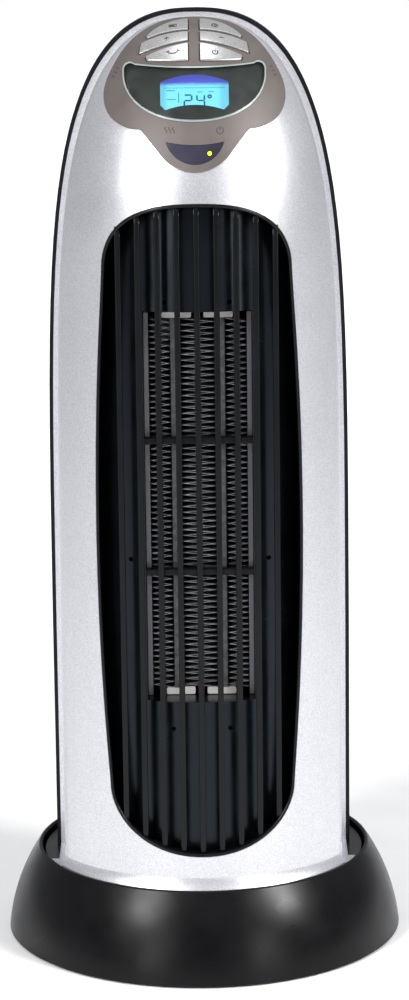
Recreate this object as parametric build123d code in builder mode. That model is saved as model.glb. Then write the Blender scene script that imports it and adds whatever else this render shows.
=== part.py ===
"""Oscillating ceramic tower heater, made of separate pieces. Millimetres.

+Z is up and the outlet faces -Y. The origin is on the floor, on the axis that
the tower swings about.
"""
import os
from math import acos, copysign, cos, hypot, pi, radians, sin, tan

from build123d import *

os.makedirs("parts", exist_ok=True)

# ---------------------------------------------------------------- driving sizes
HEIGHT = 559.3           # top of the rear cover's edge
BODY_HALF = 89.7         # half width of the tower across that edge
BASE_R = 120.0           # base circle on the floor
RIM_TOP = 53.0           # top of the base ring
WELL_R = 98.6            # inside of the base ring
FRONT_DEPTH = 95.0       # swing axis to the front face
REAR_DEPTH = 84.0        # swing axis to the back face
CROWN_Z = 430.0          # where both faces start to curve over
FRONT_WALL = 2.4
REAR_WALL = 2.2
LIP_SIDE = 6.4           # rear edge and front lip together, at the sides
LIP_TOP = 4.6            # the same, at the top of the arch
BEAD = 2.35              # width of the rear cover's edge seen from the front
EDGE_LEAD = 1.5          # how far that edge stands forward of the swing axis
LIP_LEAD = 3.5           # the same for the front shell's lip
SPLIT_Y = -1.6           # rear end of the front shell
FLANGE_END = 33.0        # the shell's foot flange stops this far in front of the axis
RUN = 0.05               # running clearance on shafts
FLOAT = 0.4              # clearance round each button

FLOOR_Z = 30.0           # floor of the well in the base
COLLAR_TOP = 44.5        # bearing collar of the base
DISC_Z = 46.3            # underside of the turntable
DECK_Z = 49.3            # top of the turntable, where the tower stands
HUB_R = 22.0

GRILLE_LOW, GRILLE_HIGH = 72.0, 456.0
GRILLE_HALF = 60.0
RIB_PITCH, RIB_WIDTH, RIBS = 11.2, 3.4, 9
DUCT_HALF = 31.5         # outlet opening
DUCT_LOW, DUCT_HIGH = 163.0, 393.0

HEAT_FRONT, HEAT_BACK = -66.0, -52.0
FIN_LOW, FIN_HIGH = 167.2, 386.9
FIN_PERIOD = 3.45
FIN_SLANT = 0.075        # half the ribbon's level width, as a share of the stack's width

BLOW_Y = 18.0            # axis of the cross-flow impeller
IMP_R, IMP_LOW, IMP_HIGH = 30.0, 166.0, 390.0
SHAFT_R = 3.0

MODULE, PRESSURE = 1.5, radians(25)
SECTOR_TEETH, PINION_TEETH = 56, 12
BACKLASH = 0.3
PINION_Y = MODULE * (SECTOR_TEETH + PINION_TEETH) / 2 + 0.15

# The six keys share one tilted plane: its origin on the crown and its normal.
KEY_ORIGIN = (0, -42.8, 540.7)
KEY_NORMAL = (0, -0.53, 0.848)
KEY_PLANE = Plane(origin=KEY_ORIGIN, x_dir=(1, 0, 0), z_dir=KEY_NORMAL)
KEY_BOTTOM = -9.0        # underside of the keys, below that plane
KEY_PROUD = 1.9
OVERLAY = 0.8            # thickness of the control overlay


def finish(piece, name):
    """Label a sub-part and write it out."""
    piece.part.label = name
    export_step(piece.part, f"parts/{name}.step")


# ------------------------------------------------------------- the tower's form
def arch_half(z, inset_side=0.0, inset_top=0.0):
    """Half width of the arch-topped outline at height z."""
    foot = -112.6
    t = min(1.0, max(0.0, (z - foot) / (HEIGHT - inset_top - foot)))
    return (BODY_HALF - inset_side) * (1 - t ** 9.0) ** (1 / 2.416)


def lobe(plane, half, depth, corner, lead):
    """One level section of a face: side walls, a curved front and a flat back.

    The back stands lead past the plane where the two halves of the tower meet.
    """
    shoulder = corner * depth
    with BuildSketch(plane) as level:
        with BuildLine():
            Polyline((half, -shoulder), (half, lead), (-half, lead), (-half, -shoulder))
            ThreePointArc((-half, -shoulder), (0, -depth), (half, -shoulder))
        make_face()
        fillet(level.vertices().group_by(Axis.Y)[0], 0.36 * shoulder)
    return level.sketch


def face_body(grow, depth, edge, corner, plane_of, lead=0.0):
    """Solid under a tower face that is moved outwards by grow."""
    side, top = edge
    crown = HEIGHT - top + grow - CROWN_Z
    step = 9.75
    rise = crown * sin(radians(step))
    seam = CROWN_Z - 3 * rise
    trunk = [(DECK_Z - 10 + k * (seam - DECK_Z + 10) / 5, 1.0) for k in range(6)]
    cap = [(CROWN_Z - k * rise, 1.0) for k in (3, 2, 1)]
    for k in range(10):
        angle = radians(k * step)
        cap.append((CROWN_Z + crown * sin(angle) ** (1 / 0.95), cos(angle)))
    with BuildPart() as body:
        for levels in (trunk, cap):
            loft([lobe(plane_of(z), arch_half(z, side - grow, top - grow),
                       reach * (depth + grow), corner, lead) for z, reach in levels])
    return body.part


def front_body(grow):
    """Solid under the silver front face; grow moves the face outwards."""
    return face_body(grow, FRONT_DEPTH, (LIP_SIDE, LIP_TOP), 0.487,
                     lambda z: Plane.XY.offset(z))


def rear_body(grow, lead=0.0):
    """Solid inside the rear cover; grow moves its face outwards."""
    return face_body(grow, REAR_DEPTH, (0, 0), 0.357,
                     lambda z: Plane((0, 0, z), x_dir=(-1, 0, 0), z_dir=(0, 0, 1)), lead)


FACE = {grow: front_body(grow) for grow in
        (KEY_PROUD, 1.15, OVERLAY, 0.5, 0.05, 0.0, -0.6, -0.9, -1.1, -1.9, -2.0,
         -FRONT_WALL, -4.6, -8.0, -11.0, -13.0)}
REAR = {grow: rear_body(grow, lead) for grow, lead in
        ((0.0, EDGE_LEAD), (-REAR_WALL, EDGE_LEAD + 1), (-BEAD, LIP_LEAD), (-3.2, 0), (-4.2, 0))}


def spots(places, radius):
    """Circles at places of a front view."""
    with BuildSketch() as view:
        with Locations(*places):
            Circle(radius)
    return view.sketch


def rearward(view, start, reach):
    """Extrude a front view backwards, from Y = start over reach."""
    with BuildPart() as prism:
        with BuildSketch(Plane.XZ.offset(-start)):
            add(view)
        extrude(amount=-reach)
    return prism.part


def skin(prism, outer, inner, faces=FACE):
    """The part of a prism that lies between two offsets of a face."""
    with BuildPart() as layer:
        add(prism)
        add(faces[outer], mode=Mode.INTERSECT)
        add(faces[inner], mode=Mode.SUBTRACT)
    return layer.part


def front_prism(view):
    """Extrude a front view forwards."""
    with BuildPart() as prism:
        with BuildSketch(Plane.XZ):
            add(view)
        extrude(amount=140)
    return prism.part


def swell(points, grow):
    """Move an anticlockwise ring of points outwards along its own normals."""
    moved = []
    for k, (x, y) in enumerate(points):
        before, after = points[k - 1], points[(k + 1) % len(points)]
        run_in, run_out = hypot(x - before[0], y - before[1]), hypot(after[0] - x, after[1] - y)
        nx = (y - before[1]) / run_in + (after[1] - y) / run_out
        ny = (before[0] - x) / run_in + (x - after[0]) / run_out
        mitre = 2 * grow / (nx * nx + ny * ny)
        moved.append((x + mitre * nx, y + mitre * ny))
    return moved


def bowl(half, rise, power, steps):
    """Points over a superellipse from its right end to its left end, both left out."""
    turns = [pi * k / steps for k in range(1, steps)]
    return [(copysign(half * abs(cos(t)) ** (2 / power), cos(t)), rise * sin(t) ** (2 / power))
            for t in turns]


def closed_view(points, runs, grow=0.0):
    """Front view through a ring of points, in runs of so many steps each.

    One step is a straight line, two are an arc and more are a smooth curve.
    """
    loop = swell(points, grow)
    loop.append(loop[0])
    start = 0
    with BuildSketch() as view:
        with BuildLine():
            for steps in runs:
                stretch = loop[start:start + steps + 1]
                start += steps
                if steps == 1:
                    Line(*stretch)
                elif steps == 2:
                    ThreePointArc(*stretch)
                else:
                    Spline(*stretch)
        make_face()
    return view.sketch


def ring(view, outside, inside):
    """The band of a front view between two offsets of it."""
    with BuildSketch() as band:
        add(view(outside))
        add(view(inside), mode=Mode.SUBTRACT)
    return band.sketch


# ------------------------------------------------------------------ front views
def grille_view(grow=0.0):
    """Long shield: bowed sides, round top and round bottom."""
    side, low, high, steps = 54.2, 114, 415, 10
    points = [(side, low), (GRILLE_HALF, (low + high) / 2 + 10), (side, high)]
    points += [(x, high + z) for x, z in bowl(side, GRILLE_HIGH - high, 2.5, steps)]
    points += [(-side, high), (-GRILLE_HALF, (low + high) / 2 + 10), (-side, low)]
    points += [(-x, low - z) for x, z in bowl(side, low - GRILLE_LOW, 2.1, steps)]
    return closed_view(points, (2, steps, 2, steps), grow)


def panel_view():
    """Control overlay: arched top, two side lobes and a tongue."""
    lobe_side = [(31.3, 496.2), (40.5, 497.4), (48.6, 502.7), (52, 512), (47.1, 528),
                 (37.7, 541), (20, 551.8)]
    points = lobe_side + [(0, 554.4)] + [(-x, z) for x, z in reversed(lobe_side)]
    points += [(-20.8, 484), (0, 473.3), (20.8, 484)]
    with BuildSketch() as view:
        add(closed_view(points, (14, 1, 2, 1)))
        fillet(view.vertices().group_by(Axis.Y)[-1], 2.5)
    return view.sketch


def window_view(grow=0.0):
    """Display window: a round bowl with upturned top corners."""
    half, corner, steps = 40.1, 526, 10
    points = [(half, corner), (38.7, 530.0), (34, 530.1), (0, 529), (-34, 530.1),
              (-38.7, 530.0), (-half, corner)]
    points += [(-x, corner - z) for x, z in bowl(half, corner - 501.4, 2.2, steps)]
    return closed_view(points, (2, 2, 2, steps), grow)


def screen_view():
    """Lit area of the display: arched top and a hollow bottom edge."""
    with BuildSketch() as view:
        with BuildLine():
            ThreePointArc((19.4, 521.2), (0, 525.2), (-19.4, 521.2))
            Line((-19.4, 521.2), (-19.4, 509))
            Line((-19.4, 509), (-16.6, 506.4))
            ThreePointArc((-16.6, 506.4), (0, 509.3), (16.6, 506.4))
            Line((16.6, 506.4), (19.4, 509))
            Line((19.4, 509), (19.4, 521.2))
        make_face()
        fillet(view.vertices().group_by(Axis.Y)[-1], 1.5)
    return view.sketch


def receiver_view(grow=0.0):
    """Dark remote-control window in the tongue."""
    return closed_view([(-16.5, 489.7), (0, 477.3), (16.5, 489.7), (0, 488)], (2, 2), grow)


def key_view(upper, lower, side, grow):
    """One key on the tilted plane, between an upper and a lower curve."""
    points = [(side * x, s) for x, s in upper + lower[::-1]]
    with BuildSketch() as view:
        add(closed_view(points, (2, 1, 2, 1), -side * grow))
        fillet(view.vertices(), 0.9 + grow)
    return view.sketch


KEY_ROWS = {
    "top": ([(3.3, 28.6), (16.2, 23.9), (27.6, 13.0)],
            [(3.3, 13.7), (13.2, 13.3), (26.6, 10.7)]),
    "middle": ([(3.3, 11.8), (16, 10.8), (30.4, 7.4)],
               [(3.3, 2.5), (18, 0.4), (31.6, -1.7)]),
    "bottom": ([(3.3, 0.6), (14, -1.6), (27.8, -5.6)],
               [(3.3, -14), (15, -12.7), (26.8, -9.0)]),
}
KEYS = [("button_mode", "top", -1), ("button_time", "top", 1),
        ("button_plus", "middle", -1), ("button_minus", "middle", 1),
        ("button_osc", "bottom", -1), ("button_power", "bottom", 1)]


def key_prism(row, side, grow, low, high):
    """A key, or the hole for it, from low to high along the key's travel."""
    with BuildPart() as prism:
        with BuildSketch(KEY_PLANE.offset(low)):
            add(key_view(*KEY_ROWS[row], side, grow))
        extrude(amount=high - low)
    return prism.part


KEY_HOLES = [key_prism(row, side, FLOAT, -14, 12) for _, row, side in KEYS]
WINDOW = front_prism(window_view())
RECEIVER = front_prism(receiver_view())

# ------------------------------------------------------------------ front shell
POSTS = [(x, z) for x in (-72, 72) for z in (76, 428)]
POST_R, POST_BACK = 4.2, 27.9     # screw posts of the front shell and their rear ends

with BuildPart() as post_fronts:
    add(rearward(spots(POSTS, POST_R), -60, 60))
    add(FACE[-0.6], mode=Mode.INTERSECT)
with BuildPart() as front_shell:
    add(FACE[0.0])
    add(REAR[-BEAD])
    with BuildSketch(Plane.XZ):
        with BuildLine():
            Polyline((91.0, DECK_Z), (97.7, DECK_Z), (97.7, 52.5))
            ThreePointArc((97.7, 52.5), (95.7, 56.5), (94.9, 64))
            Polyline((94.9, 64), (91.0, 64), (91.0, DECK_Z))
        make_face()
    revolve(axis=Axis.Z)
    with BuildSketch(Plane.XY.offset(DECK_Z)):
        Circle(97.7)
    extrude(amount=2.4)
    with Locations((0, SPLIT_Y - 75, 300)):
        Box(200, 150, 560, mode=Mode.INTERSECT)
    with Locations((0, 0, DECK_Z - 20)):
        Box(300, 300, 40, mode=Mode.SUBTRACT)
    add(FACE[-FRONT_WALL], mode=Mode.SUBTRACT)
    add(post_fronts.part)
    add(rearward(spots(POSTS, POST_R), SPLIT_Y, POST_BACK - SPLIT_Y))
    add(rearward(spots(POSTS, 1.5), 5, POST_BACK), mode=Mode.SUBTRACT)
    with BuildSketch(Plane.XY.offset(DECK_Z + 2.4)):
        for side in (-1, 1):
            with Locations((side * (BODY_HALF - LIP_SIDE + 15), -25.7)):
                Rectangle(30, 44)
    extrude(amount=20, mode=Mode.SUBTRACT)
    with BuildSketch(Plane.XY.offset(DECK_Z - 1)):
        for side in (-1, 1):
            with Locations((side * (BODY_HALF - BEAD + 15.1), 0)):
                Rectangle(30, 2 * FLANGE_END)
    extrude(amount=24, mode=Mode.SUBTRACT)
    add(front_prism(grille_view()), mode=Mode.SUBTRACT)
    add(WINDOW, mode=Mode.SUBTRACT)
    add(RECEIVER, mode=Mode.SUBTRACT)
    for hole in KEY_HOLES:
        add(hole, mode=Mode.SUBTRACT)
finish(front_shell, "front_shell")


# ------------------------------------------------------------------- rear cover
PORT_HALF, PORT_LOW, PORT_HIGH = 47.0, 150.0, 410.0          # air intake
POCKET_HALF, POCKET_LOW, POCKET_HIGH = 44.0, 463.0, 491.0    # carrying recess
POCKET_FLOOR = 48.0
SWITCH_Z, SWITCH_W, SWITCH_H = 85.0, 20.0, 13.5
SCREW_SEAT = 30.0        # where the heads of the long screws bear, along Y


def port_view(amount=0.0):
    """Rounded rectangle of the air intake."""
    with BuildSketch() as view:
        with Locations((0, (PORT_LOW + PORT_HIGH) / 2)):
            RectangleRounded(2 * (PORT_HALF + amount), PORT_HIGH - PORT_LOW + 2 * amount,
                             10 + amount)
    return view.sketch


def pocket_view(wall):
    """Rounded rectangle of the carrying recess, with or without its wall."""
    with BuildSketch() as view:
        with Locations((0, (POCKET_LOW + POCKET_HIGH) / 2)):
            RectangleRounded(2 * (POCKET_HALF + wall), POCKET_HIGH - POCKET_LOW + 2 * wall,
                             8 + wall)
    return view.sketch


with BuildPart() as rear_cover:
    add(REAR[0.0])
    add(REAR[-REAR_WALL], mode=Mode.SUBTRACT)
    add(rearward(spots(POSTS, 5.4), SCREW_SEAT - 2, 60))
    add(REAR[0.0], mode=Mode.INTERSECT)
    add(rearward(pocket_view(REAR_WALL + 0.1), 40, 60), mode=Mode.SUBTRACT)
    add(rearward(spots(POSTS, 3.7), SCREW_SEAT, 60), mode=Mode.SUBTRACT)
    add(rearward(spots(POSTS, 1.7), SCREW_SEAT - 3, 60), mode=Mode.SUBTRACT)
    add(rearward(port_view(), 40, 60), mode=Mode.SUBTRACT)
    with BuildSketch(Plane.XZ.offset(-60)):
        with Locations((0, SWITCH_Z)):
            Rectangle(SWITCH_W, SWITCH_H)
    extrude(amount=-30, mode=Mode.SUBTRACT)
    with Locations((0, 0, DECK_Z - 20)):
        Box(300, 300, 40, mode=Mode.SUBTRACT)
finish(rear_cover, "rear_cover")

with BuildPart() as grip_cup:
    add(rearward(pocket_view(REAR_WALL), POCKET_FLOOR - REAR_WALL, 60))
    add(REAR[0.0], mode=Mode.INTERSECT)
    add(rearward(pocket_view(0), POCKET_FLOOR, 60), mode=Mode.SUBTRACT)
finish(grip_cup, "grip_cup")

with BuildPart() as cover_screws:
    for x, z in POSTS:
        head = Plane((x, SCREW_SEAT + 2.6, z), z_dir=(0, -1, 0))
        with BuildSketch(head):
            Circle(3.2)
        extrude(amount=2.6)
        with BuildSketch(head):
            Circle(1.4)
        extrude(amount=26)
finish(cover_screws, "cover_screws")

with BuildSketch() as louvre_view:
    add(port_view(-0.15))
    with GridLocations(7.0, 84.0, 13, 3):
        with Locations((0, (PORT_LOW + PORT_HIGH) / 2)):
            SlotOverall(78, 4.0, rotation=90, mode=Mode.SUBTRACT)
with BuildPart() as intake_grille:
    add(rearward(louvre_view.sketch, 40, 60))
    add(REAR[0.0], mode=Mode.INTERSECT)
    add(REAR[-REAR_WALL], mode=Mode.SUBTRACT)
finish(intake_grille, "intake_grille")

with BuildPart() as intake_filter:
    add(rearward(port_view(3), 40, 60))
    add(REAR[-3.2], mode=Mode.INTERSECT)
    add(REAR[-4.2], mode=Mode.SUBTRACT)
finish(intake_filter, "intake_filter")

# -------------------------------------------------------------- front grille
with BuildSketch() as ribs_view:
    with GridLocations(RIB_PITCH, 1, RIBS, 1):
        with Locations((0, (GRILLE_LOW + GRILLE_HIGH) / 2)):
            Rectangle(RIB_WIDTH, GRILLE_HIGH - GRILLE_LOW)
    add(grille_view(-1.2), mode=Mode.INTERSECT)
with BuildPart() as front_grille:
    add(skin(front_prism(ring(grille_view, -0.15, -2.2)), 0.5, -8.0))
    add(skin(front_prism(ribs_view.sketch), -0.6, -4.6))
finish(front_grille, "front_grille")

# ----------------------------------------------------------- outlet and baffle
BAR_Z, BAR_HALF, BAR_Y = (238.8, 316.6), 2.2, -71.0
PINS = [(-18.5, 398.5), (18.5, 398.5), (-40, 247), (40, 247), (-16.5, 147), (16.5, 147)]


def duct_view(wall):
    """Outlet opening in front view, with or without its wall."""
    with BuildSketch() as view:
        with Locations((0, (DUCT_LOW + DUCT_HIGH) / 2)):
            Rectangle(2 * (DUCT_HALF + wall), DUCT_HIGH - DUCT_LOW + 2 * wall)
    return view.sketch


with BuildPart() as outlet_duct:
    add(skin(front_prism(grille_view(2.5)), -11.0, -13.0))
    add(rearward(duct_view(2.0), -84, 84 + HEAT_FRONT - 1.5))
    add(rearward(duct_view(0), -100, 60), mode=Mode.SUBTRACT)
    add(rearward(spots(PINS, 1.4), -90, 60), mode=Mode.SUBTRACT)
    add(FACE[-11.0], mode=Mode.INTERSECT)
finish(outlet_duct, "outlet_duct")

with BuildPart() as duct_crossbars:
    for z in BAR_Z:
        with BuildSketch(Plane.YZ.offset(-DUCT_HALF)):
            with Locations((BAR_Y, z)):
                RectangleRounded(4.4, 2 * BAR_HALF, 1.0)
        extrude(amount=2 * DUCT_HALF)
finish(duct_crossbars, "duct_crossbars")

# ------------------------------------------------------------- heating element
RAIL_IN, RAIL_OUT = 28.4, 31.0
BAR_IN, BAR_OUT = 10.2, 15.8
STACKS = {"heater_fins_left": (-28.2, -16.0), "heater_fins_centre": (-10.0, 10.0),
          "heater_fins_right": (16.0, 28.2)}
HEAT_DEEP = HEAT_BACK - HEAT_FRONT


def heat_block(low, high, sides, front=HEAT_FRONT, deep=HEAT_DEEP):
    """A straight bar of the element between two heights and two X values."""
    left, right = sides
    with BuildPart() as block:
        with Locations(((left + right) / 2, front + deep / 2, (low + high) / 2)):
            Box(right - left, deep, high - low)
    return block.part


def fin_stack(left, right):
    """Corrugated ribbon that zigzags between two X values."""
    half = FIN_SLANT * (right - left)
    turns = int((FIN_HIGH - FIN_LOW) / (FIN_PERIOD / 2))
    zig = [(left + half if k % 2 else right - half, FIN_LOW + k * FIN_PERIOD / 2)
           for k in range(turns + 1)]
    outline = [(x + half, z) for x, z in zig] + [(x - half, z) for x, z in reversed(zig)]
    with BuildPart() as stack:
        with BuildSketch(Plane.XZ.offset(-HEAT_BACK - 0.5)):
            with BuildLine():
                Polyline(*outline, close=True)
            make_face()
        extrude(amount=HEAT_DEEP - 1)
    return stack


for stack_name, stack_sides in STACKS.items():
    finish(fin_stack(*stack_sides), stack_name)

for bar_name, side in (("ptc_bar_left", -1), ("ptc_bar_right", 1)):
    with BuildPart() as ptc_bar:
        add(heat_block(FIN_LOW, FIN_HIGH, sorted((side * BAR_IN, side * BAR_OUT))))
        fillet(ptc_bar.edges().filter_by(Axis.Z), 0.8)
    finish(ptc_bar, bar_name)

with BuildPart() as heater_rails:
    for side in (-1, 1):
        add(heat_block(DUCT_LOW + 0.4, DUCT_HIGH - 2.4,
                       sorted((side * RAIL_IN, side * RAIL_OUT)), HEAT_FRONT - 1, HEAT_DEEP + 2))
finish(heater_rails, "heater_rails")

with BuildPart() as ptc_insulators:
    for side in (-1, 1):
        for low, high in ((DUCT_LOW + 0.3, FIN_LOW), (FIN_HIGH + 0.3, DUCT_HIGH - 2.4)):
            add(heat_block(low, high, sorted((side * 3.6, side * 20.4))))
    chamfer(ptc_insulators.edges().filter_by(Axis.Y), 0.6)
finish(ptc_insulators, "ptc_insulators")

TAB_X = (-14.0, 0.0, 14.0)
with BuildPart() as heater_terminals:
    for x in TAB_X:
        add(heat_block(DUCT_HIGH - 2.4, DUCT_HIGH + 9, (x - 3.2, x + 3.2), -59.0, 0.8))
finish(heater_terminals, "heater_terminals")

with BuildPart() as thermal_cutout:
    with BuildSketch(Plane((-18.5, -49.8, 380), z_dir=(0, 1, 0))):
        Circle(8)
    extrude(amount=5)
    with BuildSketch(Plane((-18.5, -44.8, 380), z_dir=(0, 1, 0))):
        with GridLocations(8, 1, 2, 1):
            Rectangle(4.8, 0.8)
    extrude(amount=7)
finish(thermal_cutout, "thermal_cutout")

# --------------------------------------------------------------------- blower
END_LOW, END_HIGH = 158.0, 396.0          # inner faces of the blower's end plates
MOTOR_LOW, MOTOR_HIGH, MOTOR_R = 106.0, 146.0, 27.0
PLATE = 3.0
BEAR_TOP = END_HIGH + PLATE + 6


def blower_end(z, hole):
    """End plate of the blower, with a hole on the impeller's axis."""
    with BuildPart() as plate:
        with BuildSketch(Plane.XY.offset(z)):
            with Locations((0, 5)):
                RectangleRounded(92, 106, 6)
            with Locations((0, BLOW_Y)):
                Circle(hole, mode=Mode.SUBTRACT)
        extrude(amount=PLATE)
    return plate.part


with BuildPart() as blower_housing:
    with BuildSketch(Plane.XY.offset(END_LOW)):
        with BuildLine():
            Polyline((-31, -47), (-40, -18))
            ThreePointArc((-40, -18), (-44, 22), (-30, 54))
            Polyline((-30, 54), (-27.5, 52.5))
            ThreePointArc((-27.5, 52.5), (-41.5, 22), (-37.5, -18))
            Polyline((-37.5, -18), (-28.5, -47), (-31, -47))
        make_face()
        with BuildLine():
            Polyline((31, -47), (36, -20), (30, -14), (33, -10), (39.5, -19), (33.5, -47),
                     (31, -47))
        make_face()
    extrude(amount=END_HIGH - END_LOW)
    add(blower_end(END_LOW - PLATE, 12))
    add(blower_end(END_HIGH, 8.1))
finish(blower_housing, "blower_housing")

with BuildPart() as impeller:
    discs = 5
    for k in range(discs):
        z = IMP_LOW + k * (IMP_HIGH - IMP_LOW - 1.5) / (discs - 1)
        with BuildSketch(Plane.XY.offset(z)):
            with Locations((0, BLOW_Y)):
                Circle(IMP_R)
                if k in (0, discs - 1):
                    Circle(SHAFT_R, mode=Mode.SUBTRACT)
                else:
                    Circle(IMP_R - 8, mode=Mode.SUBTRACT)
        extrude(amount=1.5)
    with BuildSketch(Plane.XY.offset(IMP_LOW)):
        with Locations((0, BLOW_Y)):
            with PolarLocations(IMP_R - 4.5, 20):
                Rectangle(7.6, 1.1, rotation=32)
    extrude(amount=IMP_HIGH - IMP_LOW)
finish(impeller, "impeller")

with BuildPart() as impeller_shaft:
    with Locations((0, BLOW_Y, (MOTOR_LOW - 4 + BEAR_TOP - 1.5) / 2)):
        Cylinder(SHAFT_R, BEAR_TOP - 1.5 - MOTOR_LOW + 4)
finish(impeller_shaft, "impeller_shaft")


def turned(profile, axis_y):
    """Revolve (radius, z) points about an upright axis at Y = axis_y."""
    with BuildPart() as body:
        with BuildSketch(Plane((0, axis_y, 0), x_dir=(1, 0, 0), z_dir=(0, -1, 0))):
            with BuildLine():
                Polyline(*profile, close=True)
            make_face()
        revolve(axis=Axis((0, axis_y, 0), (0, 0, 1)))
    return body


BORE_R = SHAFT_R + RUN
finish(turned([(BORE_R, END_HIGH), (8, END_HIGH), (8, END_HIGH + PLATE), (11, END_HIGH + PLATE),
               (11, BEAR_TOP - 2), (9, BEAR_TOP), (BORE_R, BEAR_TOP)], BLOW_Y), "top_bearing")

finish(turned([(BORE_R, MOTOR_LOW), (20, MOTOR_LOW), (20, MOTOR_LOW + 6),
               (MOTOR_R, MOTOR_LOW + 6), (MOTOR_R, MOTOR_HIGH - 6), (20, MOTOR_HIGH - 6),
               (20, MOTOR_HIGH), (7, MOTOR_HIGH), (7, MOTOR_HIGH + 4), (BORE_R, MOTOR_HIGH + 4)],
              BLOW_Y), "fan_motor")

with BuildPart() as motor_bracket:
    with Locations((0, BLOW_Y, MOTOR_LOW - 1.5)):
        Box(84, 50, 3)
        Cylinder(12, 3, mode=Mode.SUBTRACT)
    for side in (-1, 1):
        with Locations((side * 40.5, BLOW_Y, (DECK_Z + MOTOR_LOW) / 2)):
            Box(3, 50, MOTOR_LOW - DECK_Z)
        with Locations((side * 46, BLOW_Y, DECK_Z + 1.5)):
            Box(10, 50, 3)
        with Locations((side * 40.5, BLOW_Y, (MOTOR_LOW + END_LOW - PLATE) / 2)):
            Box(3, 24, END_LOW - PLATE - MOTOR_LOW)
finish(motor_bracket, "motor_bracket")

# ------------------------------------------------------------ turning the tower
def involute(teeth, angle_end, steps=4):
    """Points (radius, half tooth angle) up one flank of a gear tooth."""
    pitch = MODULE * teeth / 2
    base = pitch * cos(PRESSURE)
    half = (pi * MODULE / 2 - BACKLASH) / (2 * pitch) + tan(PRESSURE) - PRESSURE
    first = max(base, pitch - 0.95 * MODULE) + 0.01
    points = []
    for k in range(steps):
        radius = first + (angle_end - first) * k / (steps - 1)
        roll = acos(base / radius)
        points.append((radius, half - (tan(roll) - roll)))
    return points


def gear_view(teeth, centre, facing, first, last, hub):
    """Gear outline: teeth numbered first to last, counted from facing."""
    pitch = MODULE * teeth / 2
    root, tip = pitch - 1.05 * MODULE, pitch + 0.8 * MODULE
    flank = involute(teeth, tip)
    with BuildSketch() as view:
        with Locations((0, centre)):
            Circle(root)
        for k in range(first, last + 1):
            middle = facing + (k + 0.5) * 2 * pi / teeth
            left = [(r * cos(middle + a), centre + r * sin(middle + a)) for r, a in flank]
            right = [(r * cos(middle - a), centre + r * sin(middle - a)) for r, a in flank]
            inner = [((root - 0.6) * cos(middle + s * flank[0][1]),
                      centre + (root - 0.6) * sin(middle + s * flank[0][1])) for s in (1, -1)]
            with BuildLine():
                Line(inner[0], left[0])
                Spline(*left)
                Line(left[-1], right[-1])
                Spline(*reversed(right))
                Line(right[0], inner[1])
                Line(inner[1], inner[0])
            make_face()
        with Locations((0, centre)):
            Circle(hub, mode=Mode.SUBTRACT)
    return view.sketch


with BuildPart() as osc_sector:
    with BuildSketch(Plane.XY.offset(FLOOR_Z)):
        add(gear_view(SECTOR_TEETH, 0, pi / 2, -9, 8, 33))
    extrude(amount=10)
finish(osc_sector, "osc_sector")

OSC_MOTOR_Y, OSC_MOTOR_R, OSC_SHAFT_R = 47.0, 25.0, 3.5
with BuildPart() as osc_pinion:
    with BuildSketch(Plane.XY.offset(FLOOR_Z + 1.2)):
        add(gear_view(PINION_TEETH, PINION_Y, -pi / 2 - pi / PINION_TEETH, 0, PINION_TEETH - 1, 0.6))
    extrude(amount=8)
    with Locations((0, PINION_Y, (FLOOR_Z + 9.2 + DECK_Z) / 2)):
        Cylinder(OSC_SHAFT_R, DECK_Z - FLOOR_Z - 9.2)
finish(osc_pinion, "osc_pinion")

with BuildPart() as osc_motor:
    with Locations((0, OSC_MOTOR_Y, DECK_Z + 0.3 + 7.5)):
        Cylinder(OSC_MOTOR_R, 15)
    fillet(osc_motor.edges().group_by(Axis.Z)[-1], 1.5)
    with Locations((0, OSC_MOTOR_Y, DECK_Z + 0.75)):
        Box(66, 12, 0.9)
finish(osc_motor, "osc_motor")

HUB_BOTTOM = 26.7
SHELF_BOTTOM = 27.0      # underside of the base's floor
with BuildPart() as turntable:
    with BuildSketch(Plane.XY.offset(DISC_Z)):
        Circle(WELL_R - 1.6)
        Circle(15, mode=Mode.SUBTRACT)
        with Locations((0, PINION_Y)):
            Circle(OSC_SHAFT_R + 0.6, mode=Mode.SUBTRACT)
    extrude(amount=DECK_Z - DISC_Z)
    with BuildSketch(Plane.XY.offset(HUB_BOTTOM)):
        Circle(HUB_R - RUN)
        Circle(15, mode=Mode.SUBTRACT)
    extrude(amount=DISC_Z - HUB_BOTTOM)
    with BuildSketch(Plane.XY.offset(HUB_BOTTOM)):
        with PolarLocations(18.5, 3):
            Circle(1.5)
    extrude(amount=12, mode=Mode.SUBTRACT)
finish(turntable, "turntable")

with BuildPart() as hub_retainer:
    with BuildSketch(Plane.XY.offset(HUB_BOTTOM - 4)):
        Circle(30)
        Circle(15, mode=Mode.SUBTRACT)
        with PolarLocations(18.5, 3):
            Circle(1.6, mode=Mode.SUBTRACT)
    extrude(amount=4)
finish(hub_retainer, "hub_retainer")

with BuildPart() as retainer_screws:
    with BuildSketch(Plane.XY.offset(HUB_BOTTOM - 5.8)):
        with PolarLocations(18.5, 3):
            Circle(2.7)
    extrude(amount=1.8)
    with BuildSketch(Plane.XY.offset(HUB_BOTTOM - 5.8)):
        with PolarLocations(18.5, 3):
            Circle(1.4)
    extrude(amount=15)
finish(retainer_screws, "retainer_screws")

with BuildPart() as swivel_washer:
    with BuildSketch(Plane.XY.offset(COLLAR_TOP)):
        Circle(31.5)
        Circle(HUB_R + 0.3, mode=Mode.SUBTRACT)
    extrude(amount=DISC_Z - COLLAR_TOP - 0.1)
finish(swivel_washer, "swivel_washer")

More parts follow.
